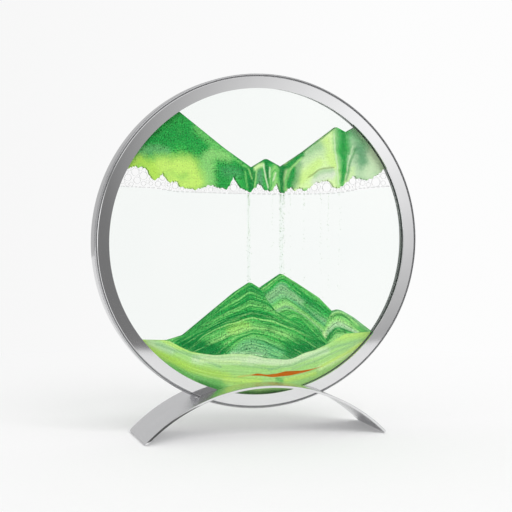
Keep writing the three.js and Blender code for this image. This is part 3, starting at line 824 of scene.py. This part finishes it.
def dress(piece, tint, strata, streaks, stretch=0.03):
    """Store a sand piece's colour, how strongly its layers show, and the place of each point in them."""
    x, y, _ = places_of(piece)
    tint_layer = piece.data.attributes.new("tint", "FLOAT_COLOR", "POINT")
    full = np.column_stack([np.broadcast_to(tint, (len(x), 3)), np.broadcast_to(streaks, len(x))])
    tint_layer.data.foreach_set("color", full.astype(np.float32).ravel())
    # Streaks run on across and through the sheet, and change quickly from layer to layer.
    layer = piece.data.attributes.new("layer", "FLOAT_VECTOR", "POINT")
    spread = np.column_stack([x * stretch, strata * 1.25, y * 0.05])
    layer.data.foreach_set("vector", spread.astype(np.float32).ravel())


def hill_layers(x, z, hill, dyes):
    """Colour of each point of a hill, and its depth among the layers."""
    lines, layers, patches = hill
    strata = strata_of(x, z, lines)
    tint = patched(layered(strata, layers, dyes), x, z, patches, dyes, loose=0.4)
    return tint, depth_of(strata, lines)


def torn_edge(x):
    """Lower edge of the banks, ragged where grains cling between small bubbles."""
    return on(BANK_BASE, 0.3)(x) + 1.2 * np.abs(np.sin(1.5 * x + 1.1 * np.sin(0.8 * x)))


def sown_bubbles():
    """Places and radii of the bubbles between the banks and the raft's lower edge."""
    chance = random.Random(11)
    low = on(RAFT_BOTTOM)
    bubbles = list(LARGE_BUBBLES)
    for _ in range(BUBBLE_TRIES):
        x = chance.uniform(-RAFT_HALF, RAFT_HALF)
        # Bubbles grow larger towards the two ends of the raft.
        radius = chance.uniform(0.5, 1.0) + 0.5 * max(0, (abs(x) - 30) / 45)
        bottom = float(low(x))
        room = float(torn_edge(x)) - bottom - 1.7 * radius
        if room > 0:
            z = bottom + radius + chance.uniform(0, room)
            inside = math.hypot(x, z) + radius < CELL_RADIUS - 0.2
            if inside and all(math.hypot(x - bx, z - bz) > 0.96 * (radius + br) for bx, bz, br in bubbles):
                bubbles.append((x, z, radius))
    return bubbles


def film_pieces():
    """Places and half sizes of the flat, broken film of air along the raft's lower edge."""
    chance = random.Random(7)
    low = on(RAFT_BOTTOM)
    film = []
    x = 1 - RAFT_HALF
    while x < RAFT_HALF - 1:
        half_length = chance.uniform(0.7, 1.3)
        middle = x + half_length
        film.append((middle, float(low(middle)) - 0.1, half_length, FILM_HALF_HEIGHT))
        x += 2 * half_length + chance.uniform(0.3, 1.2)
    return film


def aimed(name, data, heading):
    """Lamp or camera that looks along a heading."""
    made = bpy.data.objects.new(name, data)
    made.rotation_euler = Vector(heading).to_track_quat("-Z", "Y").to_euler()
    bpy.context.scene.collection.objects.link(made)
    return made


class SANDPICTURE_OT_stage(bpy.types.Operator):
    """Pale floor, soft light and the camera"""

    bl_idname = "sand_picture.stage"
    bl_label = "Stage"

    def execute(self, context):
        scene = context.scene
        scene.view_settings.view_transform = "Standard"
        scene.world = soft_studio()
        card = sheet_of(half_length=1.6, half_width=0.8, centre=(0, 0.4, 0))
        floor = object_from("floor", card, [white_card()])

        # A dark flag at the front left, seen in polished metal only, makes the stand's cut edge a dark line.
        felt = mottled("grey wool felt", "525252", "5c5c5c", 2, 0.9, 1.0, 0.1)
        cloth = sheet_of(half_length=0.0575, half_width=0.05, centre=(-0.0725, -0.08, 0.0005))
        flag = object_from("flag", cloth, [felt])
        flag.visible_camera = False
        flag.visible_diffuse = False
        flag.visible_transmission = False
        flag.visible_shadow = False

        lamp = bpy.data.lights.new("soft box", "SUN")
        lamp.energy = 1.35
        lamp.angle = math.radians(34)
        box = aimed("soft box", lamp, LAMP_HEADING)
        box.visible_glossy = False

        lens = bpy.data.cameras.new("camera")
        lens.lens, lens.sensor_width = LENS_MM, SENSOR_MM
        camera = aimed("camera", lens, CAMERA_HEADING)
        camera.location = CAMERA_PLACE
        scene.camera = camera
        return {"FINISHED"}


class SANDPICTURE_OT_hoop(bpy.types.Operator):
    """Rolled outer band with the hole of the filler port"""

    bl_idname = "sand_picture.hoop"
    bl_label = "Outer Hoop"

    def execute(self, context):
        sizes = context.scene.sand_picture_sizes
        outer = HOOP_HIGH.x
        inner = outer - sizes.hoop_wall
        front, back = HOOP_LOW.y + sizes.hoop_setback, HOOP_HIGH.y - sizes.hoop_setback
        lip = outer - sizes.hoop_chamfer
        profile = [
            (inner, front), (lip, front), (outer, front + sizes.hoop_taper),
            (outer, back - sizes.hoop_rear_taper), (lip, back), (inner, back),
        ]
        bm = turned_ring(profile, sizes.ring_steps)
        soften(bm, sizes.hoop_round)
        # Anodising leaves the band a shade darker than the faces, with a clear but not perfect mirror.
        metal = anodised_aluminium(HOOP_MATERIAL, "c4c4c6", 0.06, 0.12)
        band = finished("hoop_band", bm, [metal], "frame", ["outer_hoop"], flat=True)
        port = (CAP_HIGH.x - CAP_LOW.x) / 2 + sizes.port_gap
        spare = 5 * MM
        drilled(band, post(port, AXIS_Z + inner - spare, AXIS_Z + outer + spare))
        return {"FINISHED"}


class SANDPICTURE_OT_face_rings(bpy.types.Operator):
    """Flat rings in front and behind, each stepped to leave a shadow groove"""

    bl_idname = "sand_picture.face_rings"
    bl_label = "Face Rings"

    def execute(self, context):
        sizes = context.scene.sand_picture_sizes
        bore = HOOP_HIGH.x - sizes.hoop_wall
        rim_radius = bore - sizes.press_gap
        outer = bore - sizes.groove_width
        # The turned faces mirror the room brightly; the groove is left matt, and its darker grey is painted
        # shade for the recess.
        metal = anodised_aluminium("polished aluminium face", "e6e6e7", 0.04, 0.09)
        groove = anodised_aluminium("matt grey anodised aluminium", "c0c1c2", 0.4, 0.55)
        for end, inward, face, width in (
            ("front", 1, HOOP_LOW.y, sizes.face_width), ("rear", -1, HOOP_HIGH.y, sizes.rear_width),
        ):
            inner = outer - width
            back = face + inward * sizes.face_thickness
            step = face + inward * sizes.groove_depth
            chamfer = sizes.face_chamfer
            profile = [
                (inner, face), (outer - chamfer, face), (outer, face + inward * chamfer), (outer, step),
                (rim_radius, step), (rim_radius, back), (inner, back),
            ]
            bm = turned_ring(profile, sizes.ring_steps)
            soften(bm, sizes.edge_round)
            # The walls and the floor of the groove are left matt and take that darker grey, which is painted
            # shade.
            for part in bm.faces:
                middle = part.calc_center_median()
                if math.hypot(middle.x, middle.z - AXIS_Z) > outer:
                    part.material_index = 1
            finished(
                end + "_face_ring", bm, [metal, groove], "frame", [end + "_bezel"],
                flat=True,
            )
        return {"FINISHED"}


class SANDPICTURE_OT_cell(bpy.types.Operator):
    """Panes, gaskets, seals and the spacer between the panes"""

    bl_idname = "sand_picture.cell"
    bl_label = "Glass Cell"

    def execute(self, context):
        sizes = context.scene.sand_picture_sizes
        # Rubber is a dull near-black, silicone and acrylic are smooth greys with a soft shine.
        dressings = {
            "glass": float_glass(),
            "gasket": mottled(RUBBER_MATERIAL, "303331", "3c3f3d", 0.8, 0.7, 0.95, 0.03),
            "seal": mottled("cast grey silicone", "6c7270", "7a807d", 1.5, 0.35, 0.55, 0.02),
        }
        for end in ("front", "rear"):
            for kind, material in dressings.items():
                dress_node(end + "_" + kind, material)
        outer = SPACER_HIGH.x
        sight = HOOP_HIGH.x - sizes.hoop_wall - sizes.groove_width - sizes.face_width
        inner = sight + sizes.spacer_setback
        front, back = SPACER_LOW.y, SPACER_HIGH.y
        bm = turned_ring([(inner, front), (outer, front), (outer, back), (inner, back)], sizes.ring_steps)
        soften(bm, sizes.edge_round)
        plastic = mottled("cast grey acrylic", "646b67", "747c77", 3, 0.25, 0.4, 0.01)
        spacer = finished("spacer_wall", bm, [plastic], "frame", ["spacer_ring"], flat=True)
        bore = (STOPPER_HIGH.x - STOPPER_LOW.x) / 2 + sizes.bore_gap
        spare = 3 * MM
        drilled(spacer, post(bore, AXIS_Z + inner - spare, AXIS_Z + outer + spare, 24))
        return {"FINISHED"}


class SANDPICTURE_OT_filler_plug(bpy.types.Operator):
    """Slotted cap and ribbed stopper of the filler port"""

    bl_idname = "sand_picture.filler_plug"
    bl_label = "Filler Plug"

    def execute(self, context):
        sizes = context.scene.sand_picture_sizes
        radius = (CAP_HIGH.x - CAP_LOW.x) / 2
        bm = post(radius, CAP_LOW.z, CAP_HIGH.z, 64)
        soften(bm, sizes.cap_round, 3)
        metal = bpy.data.materials[HOOP_MATERIAL]
        cap = finished(
            "slotted_cap", bm, [metal], "filler_plug", ["filler_cap"], flat=True
        )
        slot = bmesh.new()
        bar = Matrix.Diagonal((1.5 * radius, sizes.cap_slot_width, 2 * sizes.cap_slot_depth, 1))
        bmesh.ops.create_cube(slot, size=1, matrix=Matrix.Translation((0, 0, CAP_HIGH.z)) @ bar)
        drilled(cap, slot)

        core = (STOPPER_HIGH.x - STOPPER_LOW.x) / 2
        waist = 0.8 * core
        low, high = STOPPER_LOW.z, STOPPER_HIGH.z
        profile = [(0, low), (0.7 * core, low)]
        ribs, plain_foot, plain_head = 4, 0.4 * MM, 0.2 * MM
        pitch = (high - low - plain_foot - plain_head) / ribs
        for rib in range(ribs):
            foot = low + plain_foot + rib * pitch
            profile += [
                (waist, foot), (core, foot + 0.3 * pitch), (core, foot + 0.6 * pitch),
                (waist, foot + 0.9 * pitch),
            ]
        profile += [(waist, high), (0, high)]
        bm = spun([(reach, 0, height) for reach, height in profile], (0, 0, 0), (0, 0, 1), 32)
        rubber = bpy.data.materials[RUBBER_MATERIAL]
        finished("ribbed_stopper", bm, [rubber], "filler_plug", ["filler_stopper"])
        return {"FINISHED"}


class SANDPICTURE_OT_stand(bpy.types.Operator):
    """Strip bent to an arc, with rounded feet and the slot for the frame"""

    bl_idname = "sand_picture.stand"
    bl_label = "Strip Stand"

    def execute(self, context):
        sizes = context.scene.sand_picture_sizes
        toe_x, crown, width = STAND_HIGH.x, STAND_HIGH.z, STAND_HIGH.y - STAND_LOW.y
        rise = crown - sizes.toe_height
        radius = (toe_x ** 2 + rise ** 2) / (2 * rise)
        half_length = radius * math.asin(toe_x / radius)
        half_slot = radius * math.asin(sizes.slot_length / 2 / radius)
        slot_side = HOOP_HIGH.y + sizes.slot_gap

        # The strip is cut flat, then bent about the arc's centre and given its thickness.
        bm = sheet_of(half_length, width / 2)
        bmesh.ops.bevel(
            bm, geom=bm.verts[:], offset=sizes.toe_corner, affect="VERTICES", segments=8, profile=0.5,
            material=-1,
        )
        steps = 120
        cuts = [((sign * half_slot, 0, 0), (1, 0, 0)) for sign in (-1, 1)]
        cuts += [((0, sign * slot_side, 0), (0, 1, 0)) for sign in (-1, 1)]
        cuts += [((half_length * (2 * i / steps - 1), 0, 0), (1, 0, 0)) for i in range(1, steps)]
        for place, normal in cuts:
            bmesh.ops.bisect_plane(bm, geom=all_of(bm), dist=1e-6, plane_co=place, plane_no=normal)
        slot = []
        for face in bm.faces:
            middle = face.calc_center_median()
            if abs(middle.x) < half_slot and abs(middle.y) < slot_side:
                slot.append(face)
        bmesh.ops.delete(bm, geom=slot, context="FACES")
        for vert in bm.verts:
            angle = vert.co.x / radius
            vert.co = (radius * math.sin(angle), vert.co.y, crown - radius + radius * math.cos(angle))
        bmesh.ops.recalc_face_normals(bm, faces=bm.faces)
        bulk = bmesh.ops.extrude_face_region(bm, geom=bm.faces[:])
        inner = (radius - sizes.strip_thickness) / radius
        for item in bulk["geom"]:
            if isinstance(item, bmesh.types.BMVert):
                item.co.x *= inner
                item.co.z = crown - radius + (item.co.z - crown + radius) * inner
        bmesh.ops.recalc_face_normals(bm, faces=bm.faces)

        # The feet are ground flat on the table.
        bmesh.ops.bisect_plane(
            bm, geom=all_of(bm), dist=1e-7, plane_co=(0, 0, 0), plane_no=(0, 0, 1), clear_inner=True
        )
        open_edges = [edge for edge in bm.edges if edge.is_boundary]
        bmesh.ops.holes_fill(bm, edges=open_edges, sides=0)
        bmesh.ops.recalc_face_normals(bm, faces=bm.faces)
        soften(bm, sizes.strip_edge)
        # Everything that faces forwards or backwards is cut edge.
        for face in bm.faces:
            if abs(face.normal.y) > 0.7:
                face.material_index = 1
        # Rolled metal blurs what it mirrors, and the sheared edge is cut bright and sharp.
        metal = anodised_aluminium("polished aluminium strip", "e0e0e2", 0.22, 0.3)
        cut = anodised_aluminium("bright cut aluminium edge", "e6e6e7", 0.04, 0.09)
        finished("arched_strip", bm, [metal, cut], "stand", ["stand_strip"], flat=True)
        return {"FINISHED"}


class SANDPICTURE_OT_lower_sand(bpy.types.Operator):
    """Bed, vein and hills that have settled below the water"""

    bl_idname = "sand_picture.lower_sand"
    bl_label = "Lower Sand"

    def execute(self, context):
        dyes = context.scene.sand_picture_dyes
        dyed_sand("green", pale="9fe088", dark="117a38", speck="155428", speck_share=0.24, contrast=0.6)
        dyed_sand("lime", pale="e2f4c4", dark="7dbb6c", speck="4f8a4c", speck_share=0.08, contrast=0.5)
        dyed_sand("orange", pale="e0923c", dark="a84f10", speck="8a3f10", speck_share=0.2, contrast=0.25)
        bed_top = on(BED_TOP, 1.2)
        left_top = on(LEFT_HILL_TOP, 0.8)
        right_top = on(RIGHT_HILL_TOP, 0.8)
        small_top = on(SMALL_HILL_TOP, 1.5)

        bed = slab_of_sand(
            "sand_bed_layers", "sand_bed", "lime", -66.4, 66.4, lambda x: -rim(x), bed_top, cell=0.45
        )
        x, _, z = places_of(bed)
        share = (z + rim(x)) / np.maximum(bed_top(x) + rim(x), 1)
        tint = patched(dye_of(dyes, "meadow"), x, z, BED_PATCHES, dyes, loose=0.15, stray=0.3)
        layer_count = 17
        dress(bed, tint, share * layer_count, streaks=0.35, stretch=0.02)

        vein = slab_of_sand(
            "sand_vein_streak", "sand_vein", "orange", -5, 38, on(VEIN_BOTTOM, 1), on(VEIN_TOP, 1),
            cell=0.3, proud=0.05,
        )
        _, _, z = places_of(vein)
        dress(vein, dye_of(dyes, "rust"), z, streaks=0.4)

        left = slab_of_sand(
            "sand_hill_left_layers", "sand_hill_left", "green", -53, 45, bed_top, left_top, cell=0.4
        )
        x, _, z = places_of(left)
        tint, depth = hill_layers(x, z, LEFT_HILL, dyes)
        dress(left, tint, depth, streaks=0.9, stretch=0.05)

        # The small hill lies over the foot of the right one, so each piece shows layers of both.
        edge_x, edge_z = zip(*SMALL_HILL_EDGE)
        edge_blur = 1.2
        for name, start, end, before, top in (
            ("sand_hill_right", 1, 53, left_top, right_top),
            ("sand_hill_small", 43.5, 68, right_top, small_top),
        ):
            hill = slab_of_sand(
                name + "_layers", name, "green", start, end,
                lambda x, before=before: np.maximum(bed_top(x), before(x)), top, cell=0.4,
            )
            x, _, z = places_of(hill)
            on_small = eased((x - np.interp(z, edge_z, edge_x)) / edge_blur + 0.5)
            right_tint, right_depth = hill_layers(x, z, RIGHT_HILL, dyes)
            small_tint, small_depth = hill_layers(x, z, SMALL_HILL, dyes)
            tint = right_tint + (small_tint - right_tint) * on_small[:, None]
            depth = np.where(on_small > 0.5, small_depth, right_depth)
            dress(hill, tint, depth, streaks=0.8, stretch=0.05)
        return {"FINISHED"}


class SANDPICTURE_OT_upper_sand(bpy.types.Operator):
    """Banks of sand that still lie on the raft of bubbles"""

    bl_idname = "sand_picture.upper_sand"
    bl_label = "Upper Sand"

    def execute(self, context):
        dyes = context.scene.sand_picture_dyes
        banks = [
            ("sand_bank_left", -76, -4.05, LEFT_BANK_TOP, "leaf", "green", 0.5),
            ("sand_bank_middle", -4, 13, MIDDLE_BANK_TOP, "leaf", "lime", 0.2),
            ("sand_bank_right", 13.05, 51.45, RIGHT_BANK_TOP, "straw", "lime", 0.2),
            ("sand_bank_far", 51.5, 76, FAR_BANK_TOP, "mist", "lime", 0.7),
        ]
        for name, left, right, line, ground, family, loose in banks:
            skyline = on(line, 0.6)
            bank = slab_of_sand(
                name + "_drift", name, family, left, right, torn_edge,
                lambda x, skyline=skyline: np.minimum(skyline(x), rim(x)), cell=0.36,
            )
            x, _, z = places_of(bank)
            tint = patched(dye_of(dyes, ground), x, z, BANK_PATCHES, dyes, loose)
            dress(bank, tint, z, streaks=0.12, stretch=0.15)
        return {"FINISHED"}


class SANDPICTURE_OT_bubbles(bpy.types.Operator):
    """Raft of air bubbles under the upper sand"""

    bl_idname = "sand_picture.bubbles"
    bl_label = "Bubble Raft"

    def execute(self, context):
        bubbles = [(x, z, radius, radius) for x, z, radius in sown_bubbles()]
        # Round bubbles are clear but for their rims, and the flat film is grey nearly all over.
        air = bubble_wall("air bubble in water", 0.5, 0.88)
        skin = bubble_wall("flat air film in water", 0.0, 0.85)
        deepest = 0.94 * SAND_BACK
        for name, shapes, material, replaced in (
            ("bubble_cluster", bubbles, air, ["bubble_raft"]), ("raft_film", film_pieces(), skin, []),
        ):
            bm = bmesh.new()
            for x, z, half_wide, half_high in shapes:
                if math.hypot(x, z) + half_wide < CELL_RADIUS:
                    scale = (half_wide * MM, min(half_high, deepest) * MM, half_high * MM, 1)
                    place = Matrix.Translation((x * MM, 0, AXIS_Z + z * MM)) @ Matrix.Diagonal(scale)
                    around, tall = (14, 8) if half_high > 1.2 else (10, 6)
                    bmesh.ops.create_uvsphere(
                        bm, u_segments=around, v_segments=tall, radius=1, matrix=place
                    )
            finished(name, bm, [material], "contents", replaced, sharp=180)
        return {"FINISHED"}


class SANDPICTURE_OT_falling_sand(bpy.types.Operator):
    """Loose grains that fall in threads onto the hills"""

    bl_idname = "sand_picture.falling_sand"
    bl_label = "Falling Sand"

    def execute(self, context):
        dyes = context.scene.sand_picture_dyes
        chance = random.Random(5)
        left_top, right_top, small_top = on(LEFT_HILL_TOP), on(RIGHT_HILL_TOP), on(SMALL_HILL_TOP)
        # Threads of each side: across, top, hill below, count of grains and sideways scatter.
        threads = {
            "left": [(-5.3, 26, left_top, 110, 0.5), (8.6, 26, right_top, 18, 0.4)],
            "right": [
                (13.2, 26, right_top, 120, 0.4), (15, 26, right_top, 90, 0.4),
                (18.8, 26, right_top, 18, 0.4), (27, 26, right_top, 24, 0.4),
                (37, 27, right_top, 30, 0.4), (41.6, 27, right_top, 30, 0.4),
                (48.4, 28, small_top, 24, 0.5),
            ],
        }
        material = bpy.data.materials["green" + SAND_MATERIAL]
        for side, streams in threads.items():
            bm = bmesh.new()
            for across, top, hill, count, scatter in streams:
                foot = float(hill(across))
                for _ in range(count):
                    fall = chance.random() ** 1.8
                    radius = chance.uniform(0.12, 0.22)
                    x = across + chance.gauss(0, scatter) * (0.5 + fall)
                    y = chance.uniform(-1.2, 1.2)
                    z = top + (foot - top) * fall
                    turn = Matrix.Rotation(chance.uniform(0, 3), 4, "X")
                    place = Matrix.Translation((x * MM, y * MM, AXIS_Z + z * MM)) @ turn
                    bmesh.ops.create_icosphere(bm, subdivisions=1, radius=radius * MM, matrix=place)
            name, node = "falling_grains_" + side, "falling_sand_" + side
            grains = finished(name, bm, [material], "contents", [node])
            _, _, z = places_of(grains)
            dress(grains, dye_of(dyes, "mist"), z, streaks=0.0)
        return {"FINISHED"}


class SANDPICTURE_OT_water(bpy.types.Operator):
    """Clear water above and below the raft"""

    bl_idname = "sand_picture.water"
    bl_label = "Water"

    def execute(self, context):
        water = still_water()
        for name in ("liquid_upper", "liquid_lower"):
            dress_node(name, water)
        return {"FINISHED"}


class SANDPICTURE_PT_sidebar(bpy.types.Panel):
    """Lists the steps that build the picture"""

    bl_label = "Sand Picture"
    bl_space_type = "VIEW_3D"
    bl_region_type = "UI"
    bl_category = "Sand Picture"

    def draw(self, context):
        for step in STEPS:
            self.layout.operator(step.bl_idname)
        for group in (context.scene.sand_picture_sizes, context.scene.sand_picture_dyes):
            column = self.layout.column()
            for key in group.bl_rna.properties.keys():
                if key not in {"rna_type", "name"}:
                    column.prop(group, key)


STEPS = (
    SANDPICTURE_OT_stage,
    SANDPICTURE_OT_hoop,
    SANDPICTURE_OT_face_rings,
    SANDPICTURE_OT_cell,
    SANDPICTURE_OT_filler_plug,
    SANDPICTURE_OT_stand,
    SANDPICTURE_OT_lower_sand,
    SANDPICTURE_OT_upper_sand,
    SANDPICTURE_OT_bubbles,
    SANDPICTURE_OT_falling_sand,
    SANDPICTURE_OT_water,
)
CLASSES = (SandPictureSizes, SandPictureDyes, *STEPS, SANDPICTURE_PT_sidebar)


def register():
    for cls in CLASSES:
        bpy.utils.register_class(cls)
    bpy.types.Scene.sand_picture_sizes = bpy.props.PointerProperty(type=SandPictureSizes)
    bpy.types.Scene.sand_picture_dyes = bpy.props.PointerProperty(type=SandPictureDyes)


def unregister():
    del bpy.types.Scene.sand_picture_dyes
    del bpy.types.Scene.sand_picture_sizes
    for cls in reversed(CLASSES):
        bpy.utils.unregister_class(cls)


def main():
    register()
    for step in STEPS:
        group, name = step.bl_idname.split(".")
        getattr(getattr(bpy.ops, group), name)()


if __name__ == "__main__":
    main()
